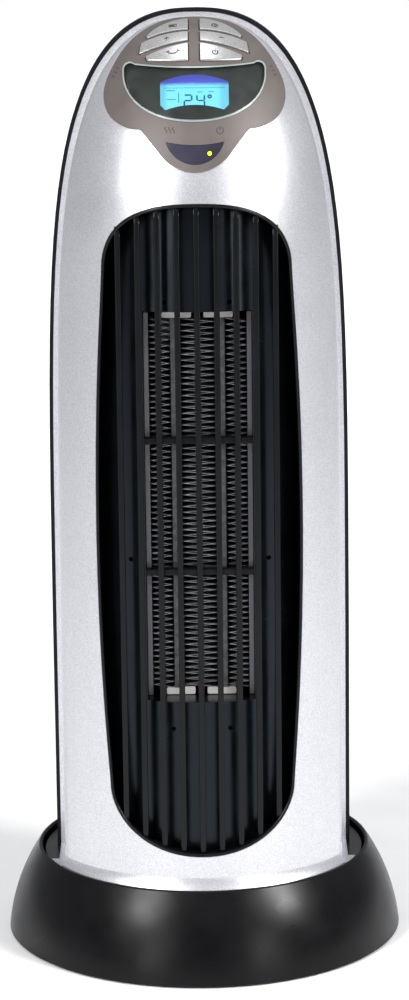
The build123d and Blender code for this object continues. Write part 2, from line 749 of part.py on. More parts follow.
# ------------------------------------------------------------------------ base
SKIN_LOW = 1.2           # lower edge of the ring, just off the floor
PLATE_Z, PLATE_THICK = 2.5, 2.5
GLAND_Z, GLAND_R, GLAND_BORE = 18.0, 5.9, 3.6
TILT = (-62.0, -38.0)
TILT_R = 4.0
BOSSES = PolarLocations(84, 5, start_angle=54)

with BuildPart() as base_shell:
    with BuildSketch(Plane.XZ):
        with BuildLine():
            ThreePointArc((BASE_R, SKIN_LOW), (113.1, 29.4), (101.0, RIM_TOP - 0.6))
            Spline((101.0, RIM_TOP - 0.6), (99.9, RIM_TOP), (WELL_R, RIM_TOP - 0.9))
            Polyline((WELL_R, RIM_TOP - 0.9), (WELL_R, FLOOR_Z), (32, FLOOR_Z), (32, COLLAR_TOP),
                     (HUB_R, COLLAR_TOP), (HUB_R, SHELF_BOTTOM), (101, SHELF_BOTTOM),
                     (101, 45), (102.6, 45))
            ThreePointArc((102.6, 45), (110.3, 29.4), (117.3, SKIN_LOW))
            Line((117.3, SKIN_LOW), (BASE_R, SKIN_LOW))
        make_face()
    revolve(axis=Axis.Z)
    with BuildSketch(Plane.XY.offset(PLATE_Z + PLATE_THICK)):
        with BOSSES:
            Circle(5)
    extrude(amount=SHELF_BOTTOM - PLATE_Z - PLATE_THICK + 0.5)
    with BuildSketch(Plane.XY.offset(PLATE_Z)):
        with BOSSES:
            Circle(1.5)
    extrude(amount=18, mode=Mode.SUBTRACT)
    with BuildSketch(Plane.XZ.offset(-102)):
        with Locations((0, GLAND_Z)):
            Circle(GLAND_R + 0.1)
    extrude(amount=-20, mode=Mode.SUBTRACT)
finish(base_shell, "base_shell")

with BuildPart() as base_plate:
    with BuildSketch(Plane.XY.offset(PLATE_Z)):
        Circle(116)
        with BOSSES:
            Circle(1.7, mode=Mode.SUBTRACT)
        with Locations(TILT):
            Circle(TILT_R + 0.4, mode=Mode.SUBTRACT)
    extrude(amount=PLATE_THICK)
finish(base_plate, "base_plate")

with BuildPart() as base_feet:
    with BuildSketch():
        with PolarLocations(100, 5, start_angle=90):
            Circle(9)
    extrude(amount=PLATE_Z)
    fillet(base_feet.edges().group_by(Axis.Z)[0], 0.6)
finish(base_feet, "base_feet")

with BuildPart() as base_screws:
    for radius, height in ((3.0, 2.0), (1.3, 16)):
        with BuildSketch(Plane.XY.offset(PLATE_Z - 2.0)):
            with BOSSES:
                Circle(radius)
        extrude(amount=height)
finish(base_screws, "base_screws")

with BuildPart() as cord_gland:
    with BuildSketch(Plane.XZ.offset(-104)):
        with Locations((0, GLAND_Z)):
            Circle(8.5)
    extrude(amount=-2.5)
    with BuildSketch(Plane.XZ.offset(-104)):
        with Locations((0, GLAND_Z)):
            Circle(GLAND_R)
    extrude(amount=-15.6)
    chamfer(cord_gland.edges().group_by(Axis.Y)[-1], 0.8)
    with BuildSketch(Plane.XZ.offset(-100)):
        with Locations((0, GLAND_Z)):
            Circle(GLAND_BORE)
    extrude(amount=-24, mode=Mode.SUBTRACT)
finish(cord_gland, "cord_gland")

with BuildPart() as tilt_switch_body:
    with Locations((*TILT, PLATE_Z + PLATE_THICK + 8.5)):
        Box(20, 12, 17)
    fillet(tilt_switch_body.edges().filter_by(Axis.Z), 1.5)
    with Locations((*TILT, PLATE_Z + PLATE_THICK + 7.5)):
        Cylinder(TILT_R + 0.3, 15, mode=Mode.SUBTRACT)
finish(tilt_switch_body, "tilt_switch_body")

with BuildPart() as tilt_plunger:
    with Locations((*TILT, 7.5)):
        Cylinder(TILT_R, 15)
    fillet(tilt_plunger.edges().group_by(Axis.Z)[0], 1.2)
finish(tilt_plunger, "tilt_plunger")

# ------------------------------------------------------------- control overlay
with BuildPart() as control_panel:
    add(skin(front_prism(panel_view()), OVERLAY, 0.05))
    add(front_prism(window_view(0.95)), mode=Mode.SUBTRACT)
    add(RECEIVER, mode=Mode.SUBTRACT)
    for hole in KEY_HOLES:
        add(hole, mode=Mode.SUBTRACT)
finish(control_panel, "control_panel")

with BuildPart() as display_bezel:
    add(skin(front_prism(ring(window_view, 0.85, 0.05)), 1.15, 0.05))
finish(display_bezel, "display_bezel")

with BuildPart() as display_lens:
    add(skin(front_prism(window_view(-0.1)), 0.5, -0.9))
finish(display_lens, "display_lens")

with BuildPart() as display_mask:
    add(skin(front_prism(window_view(-0.15)), -1.1, -1.9))
    add(front_prism(screen_view()), mode=Mode.SUBTRACT)
finish(display_mask, "display_mask")

LCD_PLANE = Plane(origin=(0, -58.6, 514.9), x_dir=(1, 0, 0), z_dir=(0, -0.8, 0.6))
with BuildPart() as lcd_screen:
    with BuildSketch(LCD_PLANE):
        RectangleRounded(41, 25, 1.5)
    extrude(amount=-2.8)
finish(lcd_screen, "lcd_screen")

LED_X, LED_Z, LED_R = 8.2, 483.4, 1.1
with BuildPart() as ir_window:
    add(skin(front_prism(receiver_view(-0.1)), 0.5, -2.0))
    add(rearward(spots([(LED_X, LED_Z)], LED_R + 0.05), -95, 60), mode=Mode.SUBTRACT)
finish(ir_window, "ir_window")

with BuildPart() as power_led:
    add(rearward(spots([(LED_X, LED_Z)], LED_R), -95, 17))
    add(FACE[OVERLAY], mode=Mode.INTERSECT)
finish(power_led, "power_led")

for key_name, row, side in KEYS:
    with BuildPart() as key:
        add(key_prism(row, side, 0, KEY_BOTTOM, 12))
        add(FACE[KEY_PROUD], mode=Mode.INTERSECT)
    finish(key, key_name)

# ----------------------------------------------------------------- electronics
BOARD_TOP = -13.6        # component side of the key board, below the key plane
KEY_TRAVEL = 1.2
SWITCH_SPOTS = [(side * x, s) for side in (-1, 1) for x, s in ((12, 19), (16, 5), (13, -7))]

with BuildPart() as control_pcb:
    with BuildSketch(KEY_PLANE.offset(BOARD_TOP)):
        with Locations((0, 5.5)):
            RectangleRounded(56, 35, 3)
    extrude(amount=-1.6)
finish(control_pcb, "control_pcb")

with BuildPart() as tact_switches:
    with BuildSketch(KEY_PLANE.offset(BOARD_TOP)):
        with Locations(*SWITCH_SPOTS):
            Rectangle(6, 6)
    extrude(amount=1.6)
    with BuildSketch(KEY_PLANE.offset(BOARD_TOP + 1.6)):
        with Locations(*SWITCH_SPOTS):
            Circle(1.7)
    extrude(amount=KEY_BOTTOM - KEY_TRAVEL - 0.15 - BOARD_TOP - 1.6)
finish(tact_switches, "tact_switches")

BOARD_Y = 20.0
with BuildPart() as power_board:
    with BuildSketch(Plane.XZ.offset(-BOARD_Y)):
        with Locations((0, 440)):
            Rectangle(96, 60)
    extrude(amount=-1.6)
    for x, z, wide, high, deep in ((-34, 452, 16, 20, 15), (-14, 452, 16, 20, 15),
                                   (22, 448, 26, 24, 19), (34, 422, 12, 16, 10)):
        with Locations((x, BOARD_Y - deep / 2, z)):
            Box(wide, deep, high)
    with BuildSketch(Plane.XZ.offset(-BOARD_Y)):
        with Locations((-30, 424), (-10, 426)):
            Circle(6)
    extrude(amount=14)
finish(power_board, "power_board")

# ------------------------------------------------------------------ main switch
ROCK_Y, ROCK_TURN = 81.5, 24.0
with BuildPart() as main_switch_housing:
    with BuildSketch(Plane.XZ.offset(-REAR_DEPTH - 0.05)):
        with Locations((0, SWITCH_Z)):
            RectangleRounded(SWITCH_W + 4, SWITCH_H + 4, 1.5)
    extrude(amount=-1.4)
    with BuildSketch(Plane.XZ.offset(-64)):
        with Locations((0, SWITCH_Z)):
            Rectangle(SWITCH_W - 0.4, SWITCH_H - 0.4)
    extrude(amount=-(REAR_DEPTH + 0.05 - 64))
    with BuildSketch(Plane.XZ.offset(-75)):
        with Locations((0, SWITCH_Z)):
            Rectangle(SWITCH_W - 3, 11.2)
    extrude(amount=-20, mode=Mode.SUBTRACT)
    with BuildSketch(Plane.XZ.offset(-56)):
        with Locations((0, SWITCH_Z)):
            with GridLocations(7, 1, 2, 1):
                Rectangle(0.8, 4.8)
    extrude(amount=-8)
finish(main_switch_housing, "main_switch_housing")

with BuildPart() as rocker:
    with BuildSketch(Plane.YZ.offset(-8.2)):
        with Locations(Location((ROCK_Y, SWITCH_Z), ROCK_TURN / 2)):
            Circle(3.4)
            Polygon((-1.5, -4.6), (3.8, -4.6), (2.6, 0), (3.8, 4.6), (-1.5, 4.6), align=None)
    extrude(amount=16.4)
finish(rocker, "rocker")


# ---------------------------------------------------------------------- wiring
def wire(points, radius, bend):
    """Insulated lead along straight runs joined by tangent arcs."""
    with BuildPart() as lead:
        with BuildLine() as path:
            FilletPolyline(*points, radius=bend)
        with BuildSketch(Plane(origin=path.line @ 0, z_dir=path.line % 0)):
            Circle(radius)
        sweep()
    return lead.part


with BuildPart() as heater_lead:
    for x in TAB_X:
        add(wire([(x, -58.6, DUCT_HIGH + 9.2), (x, -58.6, 424), (x * 1.5, -12, 424),
                  (x * 1.5, -12, 404)], 1.4, 7))
finish(heater_lead, "heater_lead")

LEAD_Y = BLOW_Y + 18     # the fan lead passes behind the bracket's legs
with BuildPart() as fan_lead:
    add(wire([(22, LEAD_Y, 126), (52, LEAD_Y, 126), (52, LEAD_Y, 440), (52, LEAD_Y - 14, 440)],
             1.8, 8))
finish(fan_lead, "fan_lead")
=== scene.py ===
"""Looks of the ceramic tower heater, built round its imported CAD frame. Metres."""
import math

import bpy
import numpy as np
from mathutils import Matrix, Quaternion, Vector
from mathutils.bvhtree import BVHTree


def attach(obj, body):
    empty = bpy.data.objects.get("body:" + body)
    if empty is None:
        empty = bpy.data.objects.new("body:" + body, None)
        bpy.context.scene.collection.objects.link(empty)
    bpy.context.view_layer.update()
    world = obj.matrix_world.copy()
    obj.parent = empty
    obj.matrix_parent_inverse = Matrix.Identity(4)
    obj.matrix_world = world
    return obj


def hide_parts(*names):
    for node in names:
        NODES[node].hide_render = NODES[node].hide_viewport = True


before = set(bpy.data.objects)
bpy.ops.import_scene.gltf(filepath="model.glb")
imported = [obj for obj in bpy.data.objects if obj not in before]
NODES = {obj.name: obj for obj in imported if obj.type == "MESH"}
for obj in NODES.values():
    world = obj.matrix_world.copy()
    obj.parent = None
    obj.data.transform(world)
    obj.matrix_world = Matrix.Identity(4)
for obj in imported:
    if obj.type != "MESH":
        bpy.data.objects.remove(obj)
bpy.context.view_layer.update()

MM = 0.001


# ------------------------------------------------------------------- materials
def linear(rgb):
    """An sRGB colour, 0 to 255, as linear RGBA."""
    return (*((c / 255 / 12.92) if c < 10 else ((c / 255 + 0.055) / 1.055) ** 2.4
              for c in rgb), 1.0)


class Shade:
    """A Principled material and short ways to add nodes to it."""

    def __init__(self, name, **sockets):
        self.mat = bpy.data.materials.new(name)
        self.mat.use_nodes = True
        self.tree = self.mat.node_tree
        self.shader = self.tree.nodes["Principled BSDF"]
        self.place = self.add("ShaderNodeTexCoord").outputs["Object"]
        for socket, value in sockets.items():
            self.shader.inputs[socket.replace("_", " ")].default_value = value

    def add(self, kind, inputs=(), **settings):
        """A node with its sockets linked or set by inputs, and its options by settings."""
        node = self.tree.nodes.new(kind)
        for key, value in settings.items():
            setattr(node, key, value)
        for key, value in dict(inputs).items():
            if isinstance(value, bpy.types.NodeSocket):
                self.tree.links.new(value, node.inputs[key])
            else:
                node.inputs[key].default_value = value
        return node

    def noise(self, scale, detail=3.0, stretch=(1, 1, 1)):
        """Cloudy pattern, 0 to 1, that is fixed to the piece."""
        place = self.add("ShaderNodeMapping", {"Vector": self.place, "Scale": stretch})
        return self.add("ShaderNodeTexNoise", {"Vector": place.outputs[0], "Scale": scale,
                                               "Detail": detail}).outputs["Fac"]

    def ramp(self, value, low, high, start=0.3, end=0.7):
        """value mapped from start..end to low..high."""
        return self.add("ShaderNodeMapRange", {"Value": value, "From Min": start, "From Max": end,
                                               "To Min": low, "To Max": high}).outputs[0]

    def blend(self, value, dark, light):
        """Colour between two sRGB colours by value."""
        stops = self.add("ShaderNodeValToRGB", {"Fac": value})
        for stop, colour in zip(stops.color_ramp.elements, (dark, light)):
            stop.color = linear(colour)
        stops.color_ramp.elements[0].position, stops.color_ramp.elements[1].position = 0.3, 0.7
        return stops.outputs["Color"]

    def link(self, output, socket):
        self.tree.links.new(output, self.shader.inputs[socket])

    def bump(self, height, strength, depth=0.1 * MM):
        node = self.add("ShaderNodeBump", {"Height": height, "Strength": strength,
                                           "Distance": depth})
        self.link(node.outputs["Normal"], "Normal")


def moulded(name, dark, light, rough, grain=0.15, grain_scale=1800, drift=45, spread=0.04,
            stretch=(1, 1, 1), **sockets):
    """Moulded or cast surface: colour and gloss drift slowly, under a fine grain."""
    shade = Shade(name, **sockets)
    slow = shade.noise(drift, 4.0, stretch)
    shade.link(shade.blend(slow, dark, light), "Base Color")
    shade.link(shade.ramp(slow, rough - spread, rough + spread), "Roughness")
    shade.bump(shade.noise(grain_scale, 2.0, stretch), grain)
    return shade.mat


def pearl_silver(name, dark, light, rough, **sockets):
    """Silver paint: fine flakes that catch the light, under a clear coat."""
    shade = Shade(name, Metallic=0.8, **sockets)
    flakes = shade.add("ShaderNodeTexVoronoi", {"Vector": shade.place, "Scale": 2600.0})
    tone = shade.add("ShaderNodeSeparateColor", {0: flakes.outputs["Color"]}).outputs[0]
    shade.link(shade.blend(tone, dark, light), "Base Color")
    shade.link(shade.ramp(shade.noise(30), rough - 0.03, rough + 0.03), "Roughness")
    shade.bump(shade.noise(2200, 2.0), 0.05)
    return shade.mat


def woven(name, dark, light, pitch):
    """Plain-woven dust mesh."""
    shade = Shade(name, Roughness=0.75)
    waves = [shade.add("ShaderNodeTexWave", {"Vector": shade.place, "Scale": 0.05 / pitch},
                       bands_direction=axis).outputs["Fac"] for axis in ("X", "Z")]
    weave = shade.add("ShaderNodeMath", dict(enumerate(waves)), operation="MULTIPLY").outputs[0]
    shade.link(shade.blend(weave, dark, light), "Base Color")
    shade.bump(weave, 0.6, 0.3 * MM)
    return shade.mat


def backlit(name, band, field, z_split, z_span, strength):
    """Lit liquid-crystal panel: a deeper band over a bright field, with a mottled line between."""
    shade = Shade(name, Roughness=0.4, Emission_Strength=strength)
    height = shade.add("ShaderNodeSeparateXYZ", {0: shade.place}).outputs["Z"]
    ripple = shade.ramp(shade.noise(700), -z_span / 3, z_span / 3)
    mottled = shade.add("ShaderNodeMath", {0: height, 1: ripple}, operation="ADD").outputs[0]
    colour = shade.blend(shade.ramp(mottled, 0.3, 0.7, z_split - z_span, z_split + z_span),
                         field, band)
    shade.link(colour, "Emission Color")
    shade.link(colour, "Base Color")
    return shade.mat


def circuit(name, dark, light):
    """Printed circuit board: tracks under green solder mask."""
    shade = Shade(name, Roughness=0.35)
    flat = shade.add("ShaderNodeMapping", {"Vector": shade.place, "Rotation": (math.pi / 2, 0, 0)})
    tracks = shade.add("ShaderNodeTexBrick", {
        "Vector": flat.outputs[0],
        "Color1": linear(dark), "Color2": linear(light), "Mortar": linear(light),
        "Scale": 90.0, "Mortar Size": 0.03})
    shade.link(tracks.outputs["Color"], "Base Color")
    shade.bump(tracks.outputs["Fac"], 0.3)
    return shade.mat


BAND_FOOT, BAND_FADE = 519.6 * MM, 0.9 * MM      # height of the display's deeper band

SILVER = pearl_silver("silver_shell", (204, 204, 208), (226, 226, 231), 0.34,
                      Coat_Weight=0.25, Coat_Roughness=0.2)
KEY_SILVER = pearl_silver("key_silver", (178, 177, 176), (206, 205, 204), 0.3,
                          Coat_Weight=0.3, Coat_Roughness=0.1)
GLOSS = moulded("gloss_black", (2, 2, 3), (4, 4, 6), 0.3, grain=0.06, spread=0.05,
                Specular_IOR_Level=0.22)
DISC = moulded("disc_black", (8, 8, 10), (14, 14, 17), 0.3, grain=0.1)
REAR_BLACK = moulded("rear_black", (8, 9, 14), (15, 16, 24), 0.42, grain=0.4, grain_scale=1400,
                     Specular_IOR_Level=0.2)
GRILLE = moulded("grille_black", (4, 5, 7), (9, 11, 14), 0.24, grain=0.05, spread=0.03,
                 Specular_IOR_Level=0.25)
BAFFLE = moulded("baffle_black", (4, 5, 7), (8, 10, 13), 0.24, grain=0.12, spread=0.04,
                 Specular_Tint=linear((205, 222, 238)), Specular_IOR_Level=0.42)
SATIN = moulded("satin_black", (14, 14, 16), (28, 28, 31), 0.45, grain=0.3)
OVERLAY = moulded("overlay_grey", (84, 77, 74), (96, 89, 86), 0.5, grain=0.12,
                  Metallic=0.15)
BEZEL = moulded("bezel_grey", (150, 158, 153), (178, 186, 181), 0.26, Metallic=0.4)
MASK = moulded("mask_grey", (30, 34, 33), (58, 64, 61), 0.34, grain=0.1, drift=120)
LENS = moulded("smoked_lens", (30, 36, 34), (38, 44, 42), 0.06, grain=0.0, Alpha=0.22,
               Coat_Weight=1.0, Coat_Roughness=0.03)
RECEIVER = moulded("receiver_dark", (38, 36, 50), (52, 50, 66), 0.22, grain=0.0,
                   Specular_IOR_Level=0.35)
LCD = backlit("lcd_lit", (96, 104, 232), (120, 222, 252), BAND_FOOT, BAND_FADE, 0.85)
LED = moulded("led_lit", (225, 250, 10), (247, 255, 30), 0.2, grain=0.0,
              Emission_Color=linear((236, 255, 12)), Emission_Strength=1.3)
FIN = moulded("fin_aluminium", (120, 122, 126), (186, 188, 192), 0.38, Metallic=0.85, drift=300)
PTC = moulded("ptc_ceramic", (66, 67, 68), (104, 105, 105), 0.5, Metallic=0.5, drift=320)
CERAMIC = moulded("end_ceramic", (196, 192, 188), (222, 219, 215), 0.6)
RAIL = moulded("heater_rail", (118, 117, 123), (146, 145, 150), 0.42, Metallic=0.35,
               stretch=(1, 1, 0.1))
STEEL = moulded("zinc_steel", (150, 152, 156), (190, 192, 196), 0.3, Metallic=1.0, drift=200)
BRASS = moulded("brass_tab", (176, 146, 84), (206, 176, 110), 0.3, Metallic=1.0)
RUBBER = moulded("foot_rubber", (24, 24, 25), (40, 40, 41), 0.8, grain=0.6)
ACETAL = moulded("white_acetal", (216, 214, 206), (232, 230, 222), 0.38)
LEAD = moulded("silicone_lead", (176, 44, 36), (200, 58, 48), 0.5, drift=150)
TINPLATE = moulded("motor_can", (132, 134, 138), (168, 170, 174), 0.34, Metallic=0.9,
                   stretch=(1, 1, 6))
BOARD = circuit("circuit_board", (22, 84, 50), (40, 118, 74))
FILTER = woven("filter_mesh", (10, 10, 12), (58, 60, 64), 1.1 * MM)
INK = moulded("print_grey", (40, 37, 37), (54, 50, 50), 0.6, grain=0.1)
SEGMENT = moulded("segment_blue", (28, 66, 120), (44, 88, 146), 0.5, grain=0.0,
                  Emission_Color=linear((40, 96, 150)), Emission_Strength=0.35)

COATS = {
    SILVER: ["front_shell"], GLOSS: ["base_shell"], DISC: ["turntable"],
    REAR_BLACK: ["rear_cover", "grip_cup", "intake_grille"],
    GRILLE: ["front_grille", "duct_crossbars"],
    BAFFLE: ["outlet_duct"], OVERLAY: ["control_panel"], BEZEL: ["display_bezel"],
    MASK: ["display_mask"], LENS: ["display_lens"], RECEIVER: ["ir_window"], LCD: ["lcd_screen"],
    LED: ["power_led"], FILTER: ["intake_filter"], RUBBER: ["base_feet"],
    FIN: ["heater_fins_left", "heater_fins_centre", "heater_fins_right"],
    PTC: ["ptc_bar_left", "ptc_bar_right"], CERAMIC: ["ptc_insulators"], RAIL: ["heater_rails"],
    BRASS: ["heater_terminals"],
    STEEL: ["base_screws", "retainer_screws", "cover_screws", "impeller_shaft", "motor_bracket",
            "thermal_cutout"],
    TINPLATE: ["fan_motor", "osc_motor"],
    ACETAL: ["osc_pinion", "osc_sector", "swivel_washer", "hub_retainer", "top_bearing"],
    BOARD: ["control_pcb", "power_board"], LEAD: ["heater_lead", "fan_lead"],
    SATIN: ["base_plate", "cord_gland", "tilt_switch_body", "tilt_plunger", "blower_housing",
            "tact_switches", "main_switch_housing", "impeller", "rocker"],
    KEY_SILVER: [name for name in NODES if name.startswith("button_")],
}
for coat, names in COATS.items():
    for name in names:
        NODES[name].data.materials.clear()
        NODES[name].data.materials.append(coat)


# ---------------------------------------------------------------------- meshes
def piece(name, points, faces, coat, body, smooth=True):
    """A mesh object in the frame's own axes that rides on a body."""
    mesh = bpy.data.meshes.new(name)
    mesh.from_pydata([tuple(p) for p in points], [], faces)
    mesh.update()
    mesh.materials.append(coat)
    if smooth:
        mesh.shade_smooth()
    obj = bpy.data.objects.new(name, mesh)
    bpy.context.collection.objects.link(obj)
    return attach(obj, body)


def tree_of(node):
    """Ray-cast tree of a CAD node as it is shown."""
    bpy.context.view_layer.update()
    mesh = NODES[node].evaluated_get(bpy.context.evaluated_depsgraph_get()).to_mesh()
    return BVHTree.FromPolygons([v.co for v in mesh.vertices],
                                [tuple(p.vertices) for p in mesh.polygons])


def strip(rings, closed=False):
    """Quads between rings of equal length; the ends are capped unless closed."""
    size = len(rings[0])
    points = [p for ring in rings for p in ring]
    faces = []
    for k in range(len(rings) if closed else len(rings) - 1):
        a, b = k * size, (k + 1) % len(rings) * size
        faces += [(a + i, a + (i + 1) % size, b + (i + 1) % size, b + i) for i in range(size)]
    if not closed:
        faces += [tuple(range(size))[::-1],
                  tuple((len(rings) - 1) * size + i for i in range(size))]
    return points, faces


def merge(parts):
    """Several (points, faces) as one."""
    points, faces = [], []
    for more_points, more_faces in parts:
        faces += [tuple(len(points) + i for i in face) for face in more_faces]
        points += more_points
    return points, faces


# ---------------------------------------------------------------- front grille
RIBS, RIB_PITCH, RIB_HALF = 9, 11.2 * MM, 1.7 * MM
RIB_ROUND, RIB_DEEP = 0.6 * MM, 4.0 * MM
RIM_WIDE, GRILLE_DEEP = 2.05 * MM, 7.4 * MM
RIM_STEPS, RIB_STEPS = 260, 60
RIM_PROBES = (0.5, 0.35, 0.7, 1.4, 2.1)    # places to feel for the rim's front, in rim widths
RIB_CLEAR = 0.4 * MM                       # from the outline to a rib's end
RIB_BLEND = 7 * MM                         # end stretch of a rib, drawn on from its slope
LOW_LEAN, HIGH_LEAN = 0.6, 1.1             # how far it goes on, in steps of that slope
RAY_START = 0.3                            # in front of the heater


def hull_loop(node, count):
    """Even points round a CAD node's convex front outline, anticlockwise, as (x, z)."""
    spots = sorted({(v.co.x, v.co.z) for v in NODES[node].data.vertices})

    def chain(row):
        out = []
        for p in row:
            while len(out) > 1 and ((out[-1][0] - out[-2][0]) * (p[1] - out[-2][1])
                                    <= (out[-1][1] - out[-2][1]) * (p[0] - out[-2][0])):
                out.pop()
            out.append(p)
        return out[:-1]

    ring = np.array(chain(spots) + chain(spots[::-1]))
    ring = np.vstack([ring, ring[:1]])
    run = np.concatenate([[0], np.cumsum(np.hypot(*np.diff(ring, axis=0).T))])
    even = np.linspace(0, run[-1], count, endpoint=False)
    return np.column_stack([np.interp(even, run, ring[:, k]) for k in (0, 1)])


def front_y(tree, *places):
    """Y of the first surface met from the front at the first of some (x, z) that has one."""
    for x, z in places:
        hit = tree.ray_cast(Vector((x, -RAY_START, z)), Vector((0, 1, 0)))[0]
        if hit is not None:
            return hit.y
    raise ValueError(f"nothing in front at {places}")


def grille():
    """Rim and ribs with rounded fronts, in place of the CAD grille."""
    tree = tree_of("front_grille")
    loop = hull_loop("front_grille", RIM_STEPS)
    ahead, behind = np.roll(loop, -1, axis=0), np.roll(loop, 1, axis=0)
    inward = np.column_stack([-(ahead - behind)[:, 1], (ahead - behind)[:, 0]])
    inward /= np.hypot(*inward.T)[:, None]
    profile = [(0, GRILLE_DEEP), (0, 0.9 * MM), (0.25 * MM, 0.3 * MM), (0.7 * MM, 0),
               (1.3 * MM, 0), (1.8 * MM, 0.3 * MM), (RIM_WIDE, 0.9 * MM),
               (RIM_WIDE, GRILLE_DEEP)]
    rings = []
    for place, normal in zip(loop, inward):
        y = front_y(tree, *(place + normal * RIM_WIDE * share for share in RIM_PROBES))
        rings.append([(place[0] + normal[0] * w, y + deep, place[1] + normal[1] * w)
                      for w, deep in profile])
    rim = piece("grille_rim", *strip(rings, closed=True), GRILLE, "tower")
    bars = []
    for k in range(RIBS):
        x = (k - (RIBS - 1) / 2) * RIB_PITCH
        heights = [z for (xa, za), (xb, zb) in zip(loop, ahead) if (xa - x) * (xb - x) <= 0
                   for z in [za + (zb - za) * (x - xa) / (xb - xa or 1)]]
        low, high = min(heights) + RIB_CLEAR, max(heights) - RIB_CLEAR
        steps = np.linspace(low + RIB_BLEND, high - RIB_BLEND, RIB_STEPS)
        fronts = np.array([front_y(tree, (x, z)) for z in steps])
        steps = np.concatenate([[low], steps, [high]])
        fronts = np.concatenate([[fronts[0] + (fronts[0] - fronts[1]) * LOW_LEAN], fronts,
                                 [fronts[-1] + (fronts[-1] - fronts[-2]) * HIGH_LEAN]])
        half = [(RIB_HALF - RIB_ROUND, 0), (RIB_HALF - 0.3 * RIB_ROUND, 0.3 * RIB_ROUND),
                (RIB_HALF, RIB_ROUND), (RIB_HALF, RIB_DEEP)]
        outline = [(-dx, dy) for dx, dy in half[::-1]] + half
        bars.append(strip([[(x + dx, y + dy, z) for dx, dy in outline]
                           for y, z in zip(fronts, steps)]))
    ribs = piece("grille_ribs", *merge(bars), GRILLE, "tower")
    for obj in (rim, ribs):
        obj.modifiers.new("normals", "WEIGHTED_NORMAL")
        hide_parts("front_grille")


# ------------------------------------------------------------------ printed marks
MARK_REACH = 12 * MM        # a mark is cast onto the surface from this far above its plane
FINE = 3                    # pieces that each straight bit of a stroke is cut into
PRINT_LIFT, KEY_LIFT = 0.05 * MM, 0.15 * MM
SIGN_LINE, TICK_LINE = 0.55 * MM, 0.45 * MM


class Face:
    """A tilted plane over a CAD node, to draw marks on; X runs across it."""

    def __init__(self, origin, normal, node, body):
        self.origin, self.normal = Vector(origin), Vector(normal).normalized()
        self.up = self.normal.cross(Vector((1, 0, 0)))
        self.tree, self.body = tree_of(node), body

    def at(self, u, v):
        """Point and normal of the node's surface over the plane place (u, v)."""
        start = self.origin + Vector((u, 0, 0)) + self.up * v + self.normal * MARK_REACH
        hit, normal, _, _ = self.tree.ray_cast(start, -self.normal)
        return hit, normal


def drawn(name, face, strokes, width, coat=INK, lift=PRINT_LIFT):
    """Raised print that follows the surface: thin strips along strokes of plane points (mm)."""
    parts = []
    for stroke in strokes:
        line = [Vector((u * MM, v * MM)) for u, v in stroke]
        fine = [a.lerp(b, t / FINE) for a, b in zip(line, line[1:]) for t in range(FINE)]
        fine.append(line[-1])
        rings = []
        for k, spot in enumerate(fine):
            way = (fine[min(k + 1, len(fine) - 1)] - fine[max(k - 1, 0)]).normalized()
            side = Vector((-way.y, way.x)) * width / 2
            ends = [face.at(*(spot + side)), face.at(*(spot - side))]
            if any(hit is None for hit, _ in ends):
                break
            rings.append([ends[0][0] + ends[0][1] * lift, ends[1][0] + ends[1][1] * lift,
                          ends[1][0] - ends[1][1] * lift, ends[0][0] - ends[0][1] * lift])
        if len(rings) > 1:
            parts.append(strip(rings))
    obj = piece(name, *merge(parts), coat, face.body, smooth=False)


def arc(radius, start, end, centre=(0, 0), steps=14):
    """Points on an arc, in degrees from the right, anticlockwise."""
    angles = [math.radians(start + (end - start) * k / steps) for k in range(steps + 1)]
    return [(centre[0] + radius * math.cos(a), centre[1] + radius * math.sin(a)) for a in angles]


def power_sign(r):
    """Open ring with a stroke in its gap."""
    return [arc(r, 125, 415), [(0, 0.1 * r), (0, 1.25 * r)]]


def heat_sign(size):
    """Three rising waves."""
    return [[(x + 0.28 * size * math.sin(k * math.pi / 4), (k / 8 - 0.5) * 1.6 * size)
             for k in range(9)] for x in (-size, 0, size)]


SIGNS = {
    "button_mode": [[(-2.4, 1.1), (2.4, 1.1)], [(-2.4, 0), (0.9, 0)], [(-2.4, -1.1), (2.4, -1.1)]],
    "button_time": [arc(1.7, 0, 360), [(0, 1.1), (0, 0), (0.9, -0.4)]],
    "button_plus": [[(-1.3, 0), (1.3, 0)], [(0, -1.3), (0, 1.3)]],
    "button_minus": [[(-1.3, 0), (1.3, 0)]],
    "button_osc": [arc(3.4, 215, 325, (0, 2.4)), [(-3.9, 0.9), (-2.8, 0.5), (-2.5, 1.7)],
                   [(3.9, 0.9), (2.8, 0.5), (2.5, 1.7)]],
    "button_power": power_sign(1.6),
}
SIGN_PLACES = {"button_mode": (-12, 19), "button_time": (12, 19), "button_plus": (-15.6, 6.2),
               "button_minus": (15.6, 6.2), "button_osc": (-12, -7), "button_power": (12, -7.4)}
KEY_ORIGIN, KEY_NORMAL = (0, -42.8 * MM, 540.7 * MM), (0, -0.53, 0.848)
PANEL_ORIGIN, PANEL_NORMAL = (0, -90 * MM, 0), (0, -1, 0)
PANEL_SIGN_X, HEAT_SIGN_Z, POWER_SIGN_Z = 14.2, 496.0, 495.7
TICK_X, TICK_Z, TICK_OUT, TICK_UP = 43.2, 527.5, 1.6, 0.8
TICK_STEP_X, TICK_STEP_Z = 1.1, -2.3


def moved(strokes, u, v):
    """The same strokes, (u, v) further on."""
    return [[(x + u, y + v) for x, y in stroke] for stroke in strokes]


